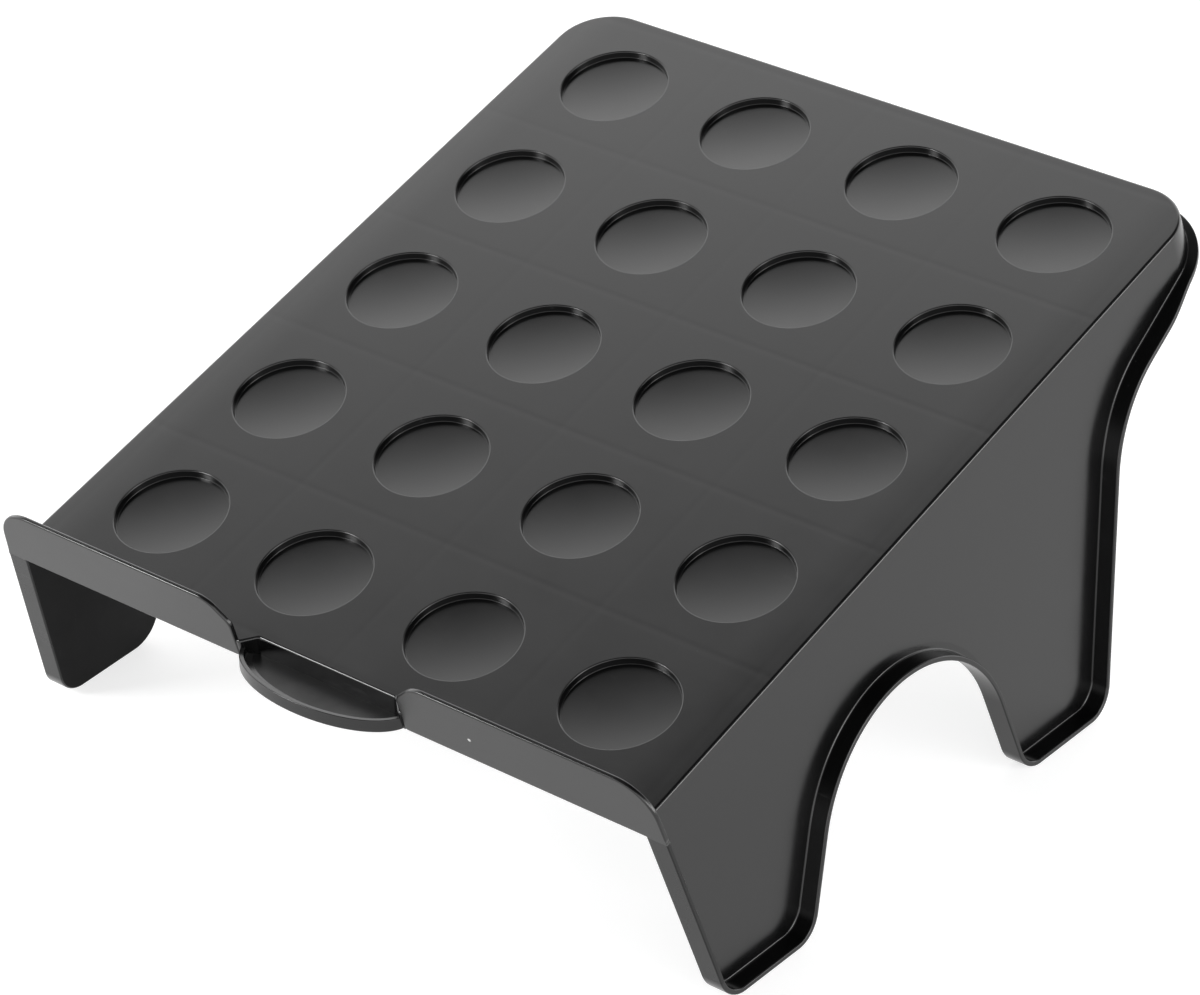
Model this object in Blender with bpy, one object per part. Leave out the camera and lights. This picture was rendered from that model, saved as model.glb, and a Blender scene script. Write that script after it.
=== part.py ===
"""Sloped ramp stand: one thin-walled black moulding, modelled as its natural sections.

World frame: +X right, +Y towards the high back end, +Z up, feet on z = 0.
Deck frame: u right, v up the slope, w square to the deck, origin in the middle of the dimple grid.
"""
import math

import bmesh
import bpy
from mathutils import Vector

MM = 0.001
GAP = 0.3 * MM

# Deck plate
SLOPE = math.radians(14.5)
DECK_HALF_WIDTH = 151.0 * MM
DECK_BACK = 183.3 * MM
DECK_CORNER_RADIUS = 22.5 * MM
DECK_THICKNESS = 2.5 * MM
DECK_EDGE_BREAK = 1.0 * MM
DECK_CENTRE_HEIGHT = 133.6 * MM
CENTRE_SHIFT_Y = 3.35 * MM

# Dished recesses in the deck
DIMPLE_RADIUS = 22.5 * MM
DIMPLE_COLUMNS = 4
DIMPLE_ROWS = 5
DIMPLE_PITCH_U = 72.4 * MM
DIMPLE_PITCH_V = 71.4 * MM
DIMPLE_WALL_DEPTH = 2.9 * MM
DIMPLE_DEPTH = 4.6 * MM
DIMPLE_SEGMENTS = 24
DIMPLE_WALL_SLOPE = 0.4 * MM
DISH_MID_RADIUS = 12.0 * MM
DISH_FLAT_RADIUS = 2.25 * MM
DISH_MID_RISE = 0.4 * MM
CUP_SKIN = 2.3 * MM
CUT_ABOVE = 1.0 * MM

# Front lip with its finger notch
LIP_FACE = 185.2 * MM
LIP_TILT = 0.0396
LIP_THICKNESS = 2.3 * MM
LIP_TOP = 17.8 * MM
LIP_BOTTOM_HEIGHT = 79.0 * MM
LIP_END_RADIUS = 17.0 * MM
NOTCH_HALF_WIDTH = 39.8 * MM
NOTCH_SHOULDER = 8.6 * MM
NOTCH_SHOULDER_RADIUS = 6.0 * MM
NOTCH_TOP_OFFSET = 9.5 * MM
NOTCH_TOP_RADIUS = 12.0 * MM
NOTCH_SETBACK = 5.8 * MM

# Half-moon finger tab
TAB_HALF_WIDTH = 39.5 * MM
TAB_REACH = 193.3 * MM
TAB_BOTTOM = 79.0 * MM
TAB_FLOOR = 81.2 * MM
TAB_RIM_TOP = 84.1 * MM
TAB_RIM_WIDTH = 1.9 * MM
TAB_ARC_STEPS = 24

# Side walls, their flange and the arch between the feet
WALL_DRAFT = 0.115
WALL_THICKNESS = 2.2 * MM
FLANGE_DEPTH = 7.2 * MM
BACK_FLANGE_DEPTH = 4.0 * MM
FLANGE_THICKNESS = 2.1 * MM
FLANGE_ROOT = 4.5 * MM
BACK_ROOT = 2.2 * MM
FOOT_RADIUS = 13.5 * MM
FRONT_HEEL_Y = -101.9 * MM
REAR_TOE_Y = 31.9 * MM
ARCH_RADIUS = 57.4 * MM
ARCH_LEAN = math.radians(18.5)
REAR_HEEL_Y = 87.9 * MM
REAR_LEAN = math.radians(9.2)
UNDERCUT_ANGLE = math.radians(30.5)
UNDERCUT_RADIUS = 53.8 * MM
UNDERCUT_POINT = (145.9 * MM, 144.7 * MM)
SIDE_END_V = DECK_BACK - DECK_CORNER_RADIUS
NARROWING_START = 140.0 * MM
NARROWING_LENGTH = 28.0 * MM

# Ribs below the deck
RIB_HEIGHT = 6.0 * MM
RIB_THICKNESS = 1.8 * MM
CENTRE_RIB_SETBACK = 3.0 * MM

ARC_STEP = math.radians(9.0)
CORNER_STEPS = 6
LAST_RUN_STEPS = 4
BLACK = (0.012, 0.012, 0.013, 1.0)

SIN_SLOPE = math.sin(SLOPE)
COS_SLOPE = math.cos(SLOPE)


def clear_scene():
    for obj in list(bpy.data.objects):
        bpy.data.objects.remove(obj, do_unlink=True)


def from_deck(u, v, w):
    """Deck coordinates to world coordinates."""
    y = v * COS_SLOPE - w * SIN_SLOPE + CENTRE_SHIFT_Y
    z = v * SIN_SLOPE + w * COS_SLOPE + DECK_CENTRE_HEIGHT
    return Vector((u, y, z))


def side_point(x, y, z):
    """A point of the side profile, whose y is measured from the middle of the dimple grid."""
    return Vector((x, y + CENTRE_SHIFT_Y, z))


def deck_w(y, z):
    """Height above the deck plane of a side profile point."""
    return (z - DECK_CENTRE_HEIGHT) * COS_SLOPE - y * SIN_SLOPE


def wall_half_width(w):
    """Half width over the outer faces of the side walls, which lean out as they go down."""
    return DECK_HALF_WIDTH - WALL_DRAFT * w


def lip_face_v(w):
    return -LIP_FACE - LIP_TILT * w


def black_plastic(name, roughness=0.3):
    mat = bpy.data.materials.new(name)
    mat.use_nodes = True
    shader = mat.node_tree.nodes["Principled BSDF"]
    shader.inputs["Base Color"].default_value = BLACK
    shader.inputs["Roughness"].default_value = roughness
    shader.inputs["Metallic"].default_value = 0.0
    mat.diffuse_color = BLACK
    return mat


def finish_object(name, bm):
    """Turn a closed bmesh into a named object with its own material and outward faces."""
    bmesh.ops.recalc_face_normals(bm, faces=bm.faces[:])
    mesh = bpy.data.meshes.new(name)
    bm.to_mesh(mesh)
    bm.free()
    mesh.shade_smooth()
    mesh.set_sharp_from_angle(angle=math.radians(32.0))
    obj = bpy.data.objects.new(name, mesh)
    bpy.context.collection.objects.link(obj)
    obj.data.materials.append(black_plastic(name + "_plastic"))
    return obj


def loft(bm, loops):
    """Skin closed loops of equal length and cap the first and the last."""
    rings = [[bm.verts.new(point) for point in loop] for loop in loops]
    for ring_a, ring_b in zip(rings, rings[1:]):
        count = len(ring_a)
        for i in range(count):
            j = (i + 1) % count
            bm.faces.new((ring_a[i], ring_a[j], ring_b[j], ring_b[i]))
    bm.faces.new(list(reversed(rings[0])))
    bm.faces.new(rings[-1])


def loft_object(name, loops):
    bm = bmesh.new()
    loft(bm, loops)
    return finish_object(name, bm)


def combine(target, tool, operation):
    """Apply a Boolean between two closed objects and drop the tool."""
    modifier = target.modifiers.new(operation.lower(), "BOOLEAN")
    modifier.object = tool
    modifier.operation = operation
    modifier.solver = "EXACT"
    graph = bpy.context.evaluated_depsgraph_get()
    mesh = bpy.data.meshes.new_from_object(target.evaluated_get(graph))
    target.modifiers.clear()
    target.data = mesh
    bpy.data.objects.remove(tool, do_unlink=True)


def rounded_path(corners):
    """Polyline through 2-D corners (a, b, radius), each inner corner replaced by its tangent arc.

    Returns the points as a list of runs, split where each arc begins and ends.
    """
    runs = [[Vector(corners[0][:2])]]
    for before, here, after in zip(corners, corners[1:], corners[2:]):
        corner = Vector(here[:2])
        to_before = (Vector(before[:2]) - corner).normalized()
        to_after = (Vector(after[:2]) - corner).normalized()
        half = to_before.angle(to_after) / 2.0
        centre = corner + (to_before + to_after).normalized() * here[2] / math.sin(half)
        start = corner + to_before * here[2] / math.tan(half)
        turn = math.pi - 2.0 * half
        if to_before.cross(to_after) > 0.0:
            turn = -turn
        steps = max(2, math.ceil(abs(turn) / ARC_STEP))
        spoke = start - centre
        arc = [centre + rotate(spoke, turn * i / steps) for i in range(steps + 1)]
        runs[-1].append(arc[0])
        runs.append(arc)
        runs.append([arc[-1]])
    runs[-1].append(Vector(corners[-1][:2]))
    return runs


def rotate(vector, angle):
    cos_a = math.cos(angle)
    sin_a = math.sin(angle)
    return Vector((vector.x * cos_a - vector.y * sin_a, vector.x * sin_a + vector.y * cos_a))


def join_runs(runs):
    points = list(runs[0])
    for run in runs[1:]:
        points.extend(run[1:])
    return points


# ---------------------------------------------------------------- deck plate

def dimple_centres():
    for row in range(DIMPLE_ROWS):
        for column in range(DIMPLE_COLUMNS):
            u = (column - (DIMPLE_COLUMNS - 1) / 2.0) * DIMPLE_PITCH_U
            v = (row - (DIMPLE_ROWS - 1) / 2.0) * DIMPLE_PITCH_V
            yield u, v


def deck_outline(inset):
    """Plan outline of the deck: square front corners, finger notch, round back corners."""
    half_width = DECK_HALF_WIDTH - inset
    corner_radius = DECK_CORNER_RADIUS - inset
    front = lip_face_v(0.0) + LIP_THICKNESS + GAP
    notch = lip_face_v(0.0) + NOTCH_SETBACK + inset
    points = [
        (-half_width, front),
        (-NOTCH_HALF_WIDTH, front),
        (-NOTCH_HALF_WIDTH, notch),
        (NOTCH_HALF_WIDTH, notch),
        (NOTCH_HALF_WIDTH, front),
        (half_width, front),
    ]
    for side in (1, -1):
        for i in range(CORNER_STEPS + 1):
            angle = math.pi / 2.0 * i / CORNER_STEPS
            if side < 0:
                angle = math.pi / 2.0 - angle
            u = DECK_HALF_WIDTH - DECK_CORNER_RADIUS + corner_radius * math.cos(angle)
            v = SIDE_END_V + corner_radius * math.sin(angle)
            points.append((side * u, v))
    return points


def turned_bodies(profile):
    """One closed turned body per dimple, from a profile of (radius, w) ending on the axis."""
    bm = bmesh.new()
    for u, v in dimple_centres():
        rings = []
        for radius, w in profile:
            ring = []
            for i in range(DIMPLE_SEGMENTS):
                angle = 2.0 * math.pi * i / DIMPLE_SEGMENTS
                point = from_deck(u + radius * math.cos(angle), v + radius * math.sin(angle), w)
                ring.append(point)
            rings.append(ring)
        loft(bm, rings)
    return bm


def build_deck_plate():
    levels = ((-DECK_THICKNESS, 0.0), (-DECK_EDGE_BREAK, 0.0), (0.0, DECK_EDGE_BREAK))
    layers = [[from_deck(u, v, w) for u, v in deck_outline(inset)] for w, inset in levels]
    deck = loft_object("deck_plate", layers)
    cups = turned_bodies([
        (DIMPLE_RADIUS + CUP_SKIN, -DECK_THICKNESS / 2.0),
        (DIMPLE_RADIUS + CUP_SKIN - DIMPLE_WALL_SLOPE, -DIMPLE_WALL_DEPTH - CUP_SKIN),
        (DISH_MID_RADIUS, -DIMPLE_DEPTH - CUP_SKIN + DISH_MID_RISE),
    ])
    combine(deck, finish_object("dimple_cups", cups), "UNION")
    recesses = turned_bodies([
        (DIMPLE_RADIUS, CUT_ABOVE),
        (DIMPLE_RADIUS - DIMPLE_WALL_SLOPE, -DIMPLE_WALL_DEPTH),
        (DISH_MID_RADIUS, -DIMPLE_DEPTH + DISH_MID_RISE),
        (DISH_FLAT_RADIUS, -DIMPLE_DEPTH),
    ])
    combine(deck, finish_object("dimple_recesses", recesses), "DIFFERENCE")


# ---------------------------------------------------------------- ribs

def slotted_rib(name, start, end, crossings, slot_from_top, to_world):
    """A rib below the deck, half-lapped where other ribs cross it."""
    top = -DECK_THICKNESS - GAP
    bottom = top - RIB_HEIGHT
    middle = (top + bottom) / 2.0
    half_slot = RIB_THICKNESS / 2.0 + GAP
    slot_edge = middle - GAP / 2.0 if slot_from_top else middle + GAP / 2.0
    slotted = [(start, top if slot_from_top else bottom)]
    for place in crossings:
        level = slotted[0][1]
        slotted.append((place - half_slot, level))
        slotted.append((place - half_slot, slot_edge))
        slotted.append((place + half_slot, slot_edge))
        slotted.append((place + half_slot, level))
    slotted.append((end, slotted[0][1]))
    plain = bottom if slot_from_top else top
    outline = slotted + [(end, plain), (start, plain)]
    loops = []
    for offset in (-RIB_THICKNESS / 2.0, RIB_THICKNESS / 2.0):
        loops.append([to_world(along, offset, w) for along, w in outline])
    loft_object(name, loops)


def build_ribs():
    long_places = [DIMPLE_PITCH_U * i for i in (-1, 0, 1)]
    cross_places = [DIMPLE_PITCH_V * (i - 1.5) for i in range(4)]
    back = DECK_BACK - WALL_THICKNESS - GAP
    for label, u in zip(("left", "centre", "right"), long_places):
        front = -LIP_FACE + LIP_THICKNESS + 2.0 * GAP
        if label == "centre":
            front = -LIP_FACE + NOTCH_SETBACK + CENTRE_RIB_SETBACK

        def along_v(v, offset, w, u=u):
            return from_deck(u + offset, v, w)

        slotted_rib("long_rib_" + label, front, back, cross_places, False, along_v)
    reach = DECK_HALF_WIDTH - WALL_THICKNESS - GAP
    for number, v in enumerate(cross_places, 1):

        def along_u(u, offset, w, v=v):
            return from_deck(u, v + offset, w)

        slotted_rib("cross_rib_%d" % number, -reach, reach, long_places, True, along_u)


# ---------------------------------------------------------------- front lip, notch and tab

def lip_w_at_height(height):
    """Deck w of the lip's front face at a world height."""
    rise = height - DECK_CENTRE_HEIGHT + LIP_FACE * SIN_SLOPE
    return rise / (COS_SLOPE - LIP_TILT * SIN_SLOPE)


def build_lip(label, side):
    """Upstanding lip: rounded down to the flange at its end and to the notch at its middle."""
    bottom = lip_w_at_height(LIP_BOTTOM_HEIGHT)
    end = wall_half_width(LIP_TOP) + FLANGE_DEPTH
    corners = [
        (NOTCH_HALF_WIDTH, bottom, 0.0),
        (NOTCH_HALF_WIDTH, NOTCH_SHOULDER, NOTCH_SHOULDER_RADIUS),
        (NOTCH_HALF_WIDTH + NOTCH_TOP_OFFSET, LIP_TOP, NOTCH_TOP_RADIUS),
        (end, LIP_TOP, LIP_END_RADIUS),
        (wall_half_width(bottom) + FLANGE_DEPTH, bottom, 0.0),
    ]
    outline = join_runs(rounded_path(corners))
    loops = []
    for back in (0.0, LIP_THICKNESS):
        loops.append([from_deck(side * p.x, lip_face_v(p.y) + back, p.y) for p in outline])
    loft_object("front_lip_" + label, loops)


def notch_wall_face_y():
    """The recessed wall hangs straight down from the deck's edge in the notch."""
    return (lip_face_v(0.0) + NOTCH_SETBACK) * COS_SLOPE


def build_notch_wall():
    """Recessed wall below the notch, with a cheek at each end that runs forward to the lip."""
    face = notch_wall_face_y()
    back = face + WALL_THICKNESS
    inner = NOTCH_HALF_WIDTH
    outer = NOTCH_HALF_WIDTH + WALL_THICKNESS
    top_w = -DECK_THICKNESS - GAP
    bottom_w = lip_w_at_height(TAB_BOTTOM)
    clearance = LIP_THICKNESS + GAP
    low_front = from_deck(0.0, lip_face_v(bottom_w) + clearance, bottom_w).y - CENTRE_SHIFT_Y
    high_front = from_deck(0.0, lip_face_v(top_w) + clearance, top_w).y - CENTRE_SHIFT_Y
    loops = []
    for front, at_top in ((low_front, False), (high_front, True)):
        plan = [
            (-outer, front),
            (-inner, front),
            (-inner, face),
            (inner, face),
            (inner, front),
            (outer, front),
            (outer, back),
            (-outer, back),
        ]
        loop = []
        for x, y in plan:
            height = TAB_BOTTOM
            if at_top:
                height = DECK_CENTRE_HEIGHT + (top_w + y * SIN_SLOPE) / COS_SLOPE
            loop.append(side_point(x, y, height))
        loops.append(loop)
    loft_object("finger_notch_wall", loops)


def tab_arc(inset, root):
    """Half-ellipse of the tab, inset from its edge, from its left root to its right root."""
    half_width = TAB_HALF_WIDTH - inset
    reach = TAB_REACH + root - inset
    points = []
    for i in range(TAB_ARC_STEPS + 1):
        angle = math.pi * (i / TAB_ARC_STEPS - 0.5)
        points.append((half_width * math.sin(angle), root - reach * math.cos(angle)))
    return points


def build_finger_tab():
    """Level half-moon tab with a low raised rim round its curved edge."""
    root = notch_wall_face_y() - GAP
    outer = tab_arc(0.0, root)
    inner = tab_arc(TAB_RIM_WIDTH, root)
    floor = [[side_point(x, y, z) for x, y in outer] for z in (TAB_BOTTOM, TAB_FLOOR)]
    tab = loft_object("finger_tab", floor)
    sections = []
    low = (TAB_BOTTOM + TAB_FLOOR) / 2.0
    for (xo, yo), (xi, yi) in zip(outer, inner):
        section = [
            side_point(xo, yo, low),
            side_point(xo, yo, TAB_RIM_TOP),
            side_point(xi, yi, TAB_RIM_TOP),
            side_point(xi, yi, low),
        ]
        sections.append(section)
    combine(tab, loft_object("tab_rim", sections), "UNION")


# ---------------------------------------------------------------- side walls and flanges

def front_edge_point(height):
    """Side profile point of the leaning front edge at a world height."""
    w = lip_w_at_height(height)
    point = from_deck(0.0, lip_face_v(w), w)
    return point.y - CENTRE_SHIFT_Y, point.z


def side_end_point():
    """Where the side profile reaches the start of the deck's round back corner."""
    along = Vector((math.cos(UNDERCUT_ANGLE), math.sin(UNDERCUT_ANGLE)))
    start = Vector(UNDERCUT_POINT)
    v_start = start.x * COS_SLOPE + (start.y - DECK_CENTRE_HEIGHT) * SIN_SLOPE
    v_rate = along.x * COS_SLOPE + along.y * SIN_SLOPE
    return start + along * (SIDE_END_V - v_start) / v_rate


def side_runs():
    """Side profile from the lip down round both feet and the arch and up to the back corner."""
    top = front_edge_point(LIP_BOTTOM_HEIGHT - GAP)
    toe = front_edge_point(0.0)
    arch_half = (REAR_TOE_Y - FRONT_HEEL_Y) / 2.0
    arch_y = (REAR_TOE_Y + FRONT_HEEL_Y) / 2.0
    arch_z = arch_half / math.tan(ARCH_LEAN)
    end = side_end_point()
    rear_rate = math.tan(REAR_LEAN)
    cut_rate = math.tan(UNDERCUT_ANGLE)
    bend_z = (end.y + cut_rate * (REAR_HEEL_Y - end.x)) / (1.0 - cut_rate * rear_rate)
    corners = [
        (top[0], top[1], 0.0),
        (toe[0], toe[1], FOOT_RADIUS),
        (FRONT_HEEL_Y, 0.0, FOOT_RADIUS),
        (arch_y, arch_z, ARCH_RADIUS),
        (REAR_TOE_Y, 0.0, FOOT_RADIUS),
        (REAR_HEEL_Y, 0.0, FOOT_RADIUS),
        (REAR_HEEL_Y + rear_rate * bend_z, bend_z, UNDERCUT_RADIUS),
        (end.x, end.y, 0.0),
    ]
    runs = rounded_path(corners)
    last_start = runs[-1][0]
    last_run = runs[-1][-1] - last_start
    runs[-1] = [last_start + last_run * i / LAST_RUN_STEPS for i in range(LAST_RUN_STEPS + 1)]
    return runs


def build_side_wall(label, side):
    """Thin wall that leans out, cut to the side profile and clear of the lip and deck above."""
    profile = join_runs(side_runs())
    last = profile[-1]
    gap_back = Vector((COS_SLOPE, SIN_SLOPE)) * GAP
    profile[-1] = last - gap_back
    top_w = -DECK_THICKNESS - GAP
    top_back = from_deck(0.0, SIDE_END_V - GAP, top_w)
    top_front = from_deck(0.0, lip_face_v(top_w) + LIP_THICKNESS + GAP, top_w)
    step_w = lip_w_at_height(LIP_BOTTOM_HEIGHT - GAP)
    step = from_deck(0.0, lip_face_v(step_w) + LIP_THICKNESS + GAP, step_w)
    for point in (top_back, top_front, step):
        profile.append(Vector((point.y - CENTRE_SHIFT_Y, point.z)))
    loops = []
    for inset in (WALL_THICKNESS, 0.0):
        loop = []
        for p in profile:
            x = wall_half_width(deck_w(p.x, p.y)) - inset
            loop.append(side_point(side * x, p.x, p.y))
        loops.append(loop)
    loft_object("side_wall_" + label, loops)


def flange_depth(along):
    """Depth of the flange, which narrows from the sides to the back edge."""
    share = min(1.0, max(0.0, (along - NARROWING_START) / NARROWING_LENGTH))
    blend = share * share * (3.0 - 2.0 * share)
    return FLANGE_DEPTH + (BACK_FLANGE_DEPTH - FLANGE_DEPTH) * blend


def flange_section(point, inward, side):
    """Flange section at a profile point: outer strip with a sloped root against the wall."""
    along = point.x * COS_SLOPE + (point.y - DECK_CENTRE_HEIGHT) * SIN_SLOPE
    rim = flange_depth(along)
    steps = (
        (0.0, GAP),
        (0.0, rim),
        (FLANGE_THICKNESS, rim),
        (FLANGE_THICKNESS, min(GAP + FLANGE_ROOT, rim - GAP)),
        (FLANGE_THICKNESS + FLANGE_ROOT, GAP),
    )
    section = []
    for depth, out in steps:
        p = point + inward * depth
        x = wall_half_width(deck_w(p.x, p.y)) + out
        section.append(side_point(side * x, p.x, p.y))
    return section


def with_tangents(points):
    """Pair each profile point with the direction of the profile there."""
    pairs = []
    for i, point in enumerate(points):
        before = points[max(i - 1, 0)]
        after = points[min(i + 1, len(points) - 1)]
        pairs.append((point, (after - before).normalized()))
    return pairs


def build_flange(name, stations, side):
    """Flange along one stretch of the side profile, a hair short of its neighbours."""
    first, first_along = stations[0]
    last, last_along = stations[-1]
    trimmed = [(first + first_along * GAP, first_along)]
    trimmed += stations[1:-1]
    trimmed.append((last - last_along * GAP, last_along))
    sections = []
    for point, along in trimmed:
        sections.append(flange_section(point, Vector((-along.y, along.x)), side))
    loft_object(name, sections)


def build_side(label, side):
    runs = side_runs()
    build_side_wall(label, side)
    stations = with_tangents(join_runs(runs))
    stretches = (
        ("front_leg_strip_", 1),
        ("front_foot_sole_", 3),
        ("arch_rim_", 3),
        ("rear_foot_sole_", 3),
        ("rear_leg_rim_", 3),
    )
    start = 0
    for name, run_count in stretches:
        length = sum(len(run) - 1 for run in runs[:run_count])
        build_flange(name + label, stations[start:start + length + 1], side)
        start += length
        runs = runs[run_count:]


# ---------------------------------------------------------------- back wall and rim

def back_stations():
    """Stations along the back: corner centre, outward direction and bottom w, right to left."""
    end = side_end_point()
    bottom_start = deck_w(end.x, end.y)
    rate = math.tan(UNDERCUT_ANGLE - SLOPE)
    centre_u = DECK_HALF_WIDTH - DECK_CORNER_RADIUS
    stations = []
    for side in (1, -1):
        for i in range(CORNER_STEPS + 1):
            angle = math.pi / 2.0 * i / CORNER_STEPS
            if side < 0:
                angle = math.pi / 2.0 - angle
            out = Vector((side * math.cos(angle), math.sin(angle)))
            bottom = bottom_start + rate * DECK_CORNER_RADIUS * math.sin(angle)
            depth = flange_depth(SIDE_END_V + DECK_CORNER_RADIUS * angle)
            stations.append((side * centre_u, out, bottom, depth))
    return stations


def back_point(centre_u, out, offset, w):
    radius = DECK_CORNER_RADIUS + offset - WALL_DRAFT * w
    return from_deck(centre_u + out.x * radius, SIDE_END_V + out.y * radius, w)


def build_back_wall():
    top = -DECK_THICKNESS - GAP
    sections = []
    for centre_u, out, bottom, _ in back_stations():
        section = [
            back_point(centre_u, out, 0.0, top),
            back_point(centre_u, out, 0.0, bottom),
            back_point(centre_u, out, -WALL_THICKNESS, bottom),
            back_point(centre_u, out, -WALL_THICKNESS, top),
        ]
        sections.append(section)
    loft_object("back_wall", sections)


def build_back_rim():
    sections = []
    for centre_u, out, bottom, depth in back_stations():
        top = bottom + FLANGE_THICKNESS
        section = [
            back_point(centre_u, out, GAP, bottom),
            back_point(centre_u, out, depth, bottom),
            back_point(centre_u, out, depth, top),
            back_point(centre_u, out, GAP + BACK_ROOT, top),
            back_point(centre_u, out, GAP, top + BACK_ROOT),
        ]
        sections.append(section)
    loft_object("back_rim", sections)


def main():
    clear_scene()
    build_deck_plate()
    build_ribs()
    for label, side in (("left", -1), ("right", 1)):
        build_lip(label, side)
        build_side(label, side)
    build_notch_wall()
    build_finger_tab()
    build_back_wall()
    build_back_rim()


main()
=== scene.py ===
import math

import bmesh
import bpy
import numpy as np
from mathutils import Matrix, Vector


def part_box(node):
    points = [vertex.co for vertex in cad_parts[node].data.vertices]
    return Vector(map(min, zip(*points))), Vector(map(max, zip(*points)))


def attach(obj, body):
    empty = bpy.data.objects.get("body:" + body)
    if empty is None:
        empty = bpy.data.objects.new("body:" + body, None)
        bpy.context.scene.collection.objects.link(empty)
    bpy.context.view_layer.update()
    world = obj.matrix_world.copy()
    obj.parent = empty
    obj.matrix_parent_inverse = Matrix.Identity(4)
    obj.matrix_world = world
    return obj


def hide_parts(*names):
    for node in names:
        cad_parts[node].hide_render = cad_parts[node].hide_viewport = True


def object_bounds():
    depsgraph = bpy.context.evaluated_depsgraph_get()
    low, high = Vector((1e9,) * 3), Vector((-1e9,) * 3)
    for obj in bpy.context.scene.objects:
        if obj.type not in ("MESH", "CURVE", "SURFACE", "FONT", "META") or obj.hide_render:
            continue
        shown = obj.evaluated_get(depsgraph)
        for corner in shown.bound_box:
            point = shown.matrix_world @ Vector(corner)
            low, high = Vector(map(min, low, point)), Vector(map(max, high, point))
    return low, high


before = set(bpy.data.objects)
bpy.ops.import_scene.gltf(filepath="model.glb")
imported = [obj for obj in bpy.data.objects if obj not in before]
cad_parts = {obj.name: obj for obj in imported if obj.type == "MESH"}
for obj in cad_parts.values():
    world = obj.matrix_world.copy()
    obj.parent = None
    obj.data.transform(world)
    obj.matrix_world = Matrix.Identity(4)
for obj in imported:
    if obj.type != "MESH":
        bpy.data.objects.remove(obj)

MM = 0.001
cad_low, cad_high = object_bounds()

# Deck
SLOPE = math.radians(14.5)
SIN = math.sin(SLOPE)
COS = math.cos(SLOPE)
_, deck_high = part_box("deck_plate")
HALF_WIDTH = deck_high.x
DECK_BACK = 183.3 * MM
DECK_THICKNESS = 2.5 * MM
CORNER_RADIUS = 22.5 * MM
EDGE_RADIUS = 1.35 * MM
CAD_EDGE_BREAK = 1.0 * MM
ORIGIN_Y = deck_high.y - DECK_BACK * COS - DECK_THICKNESS * SIN
ORIGIN_Z = deck_high.z - (DECK_BACK - CAD_EDGE_BREAK) * SIN
WALL_CUT = -3.0 * MM

# Dimples
DIMPLE_RADIUS = 22.5 * MM
DIMPLE_COLUMNS = 4
DIMPLE_ROWS = 5
PITCH_U = 72.4 * MM
PITCH_V = 71.4 * MM
DIMPLE_EDGE_DEPTH = 2.9 * MM
DIMPLE_DEPTH = 3.65 * MM
DIMPLE_SEGMENTS = 80
DIMPLE_RIM_RADIUS = 0.6 * MM
DIMPLE_ROOT_RADIUS = 0.25 * MM
DIMPLE_DRAFT = 0.25 * MM
CUP_SKIN = 2.2 * MM
CUP_ROUND = 1.2 * MM
CUP_ROUND_END = -82.0
CUP_STEPS = 8

# Lip, notch and tab
LIP_FACE = 185.2 * MM
LIP_TILT = 0.0396
LIP_THICKNESS = 2.1 * MM
LIP_TOP = 17.8 * MM
LIP_BOTTOM_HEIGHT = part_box("front_lip_right")[0].z
LIP_END_RADIUS = 17.0 * MM
LIP_CORNER_RADIUS = 1.8 * MM
LIP_EDGE_RADIUS = 0.8 * MM
LIP_END_SHARE = 0.1
LEFT_SEAM_RADIUS = 0.12 * MM
RIGHT_SEAM_RADIUS = 0.01 * MM
NOTCH_HALF_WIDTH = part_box("front_lip_right")[0].x
NOTCH_SHOULDER = 8.6 * MM
NOTCH_SHOULDER_RADIUS = 6.0 * MM
NOTCH_TOP_OFFSET = 9.5 * MM
NOTCH_TOP_RADIUS = 12.0 * MM
NOTCH_SETBACK = 5.8 * MM
NOTCH_EDGE_RADIUS = 1.0 * MM
NOTCH_CORNER_RADIUS = 2.2 * MM
NOTCH_LAND = 1.2 * MM
NOTCH_FRONT_INSET = 0.35 * MM
NOTCH_LEDGE = 1.6 * MM
NOTCH_SLANT = 5.2 * MM
NOTCH_END_LEAN = 2.3 * MM
tab_low, tab_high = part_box("finger_tab")
TAB_HALF_WIDTH = 39.5 * MM
TAB_RIM_WIDTH = 1.9 * MM
TAB_FLOOR = 81.2 * MM
TAB_FLOOR_FILLET = 0.6 * MM
TAB_FLOOR_REACH = 3.0 * MM
TAB_RIM_RADIUS = 0.35 * MM
TAB_STEPS = 96

# Side walls and flange
DRAFT = 0.115
WALL = 2.2 * MM
FLANGE_DEPTH = 7.2 * MM
BACK_FLANGE_DEPTH = 4.0 * MM
FLANGE_THICKNESS = 2.1 * MM
CREASE_RADIUS = 0.75 * MM
RIM_RADIUS = 0.55 * MM
INNER_RADIUS = 0.8 * MM
BAND_REACH = 5.0 * MM
BAND_INNER_COLUMNS = 2
FOOT_RADIUS = 13.5 * MM
FRONT_HEEL_Y = -101.9 * MM
REAR_TOE_Y = 31.9 * MM
ARCH_RADIUS = 57.4 * MM
ARCH_LEAN = math.radians(18.5)
REAR_HEEL_Y = 87.9 * MM
REAR_LEAN = math.radians(9.2)
UNDERCUT_ANGLE = math.radians(30.5)
UNDERCUT_RADIUS = 53.8 * MM
UNDERCUT_POINT = (145.9 * MM, 144.7 * MM)
SIDE_END_V = DECK_BACK - CORNER_RADIUS
NARROWING_START = 140.0 * MM
NARROWING_LENGTH = 28.0 * MM

ARC_STEP = math.radians(3.0)
CORNER_STEPS = 24
LAST_RUN_STEPS = 12
ROUND_STEPS = 6
EDGE_STEPS = 8
DISH_STEPS = 8
RIM_STEPS = 5
FOOT_STEPS = 4
SAME_NORMAL = 0.02
VERTEX_GRID = 1e7
SHORTEST_EDGE = 1e-9

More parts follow.
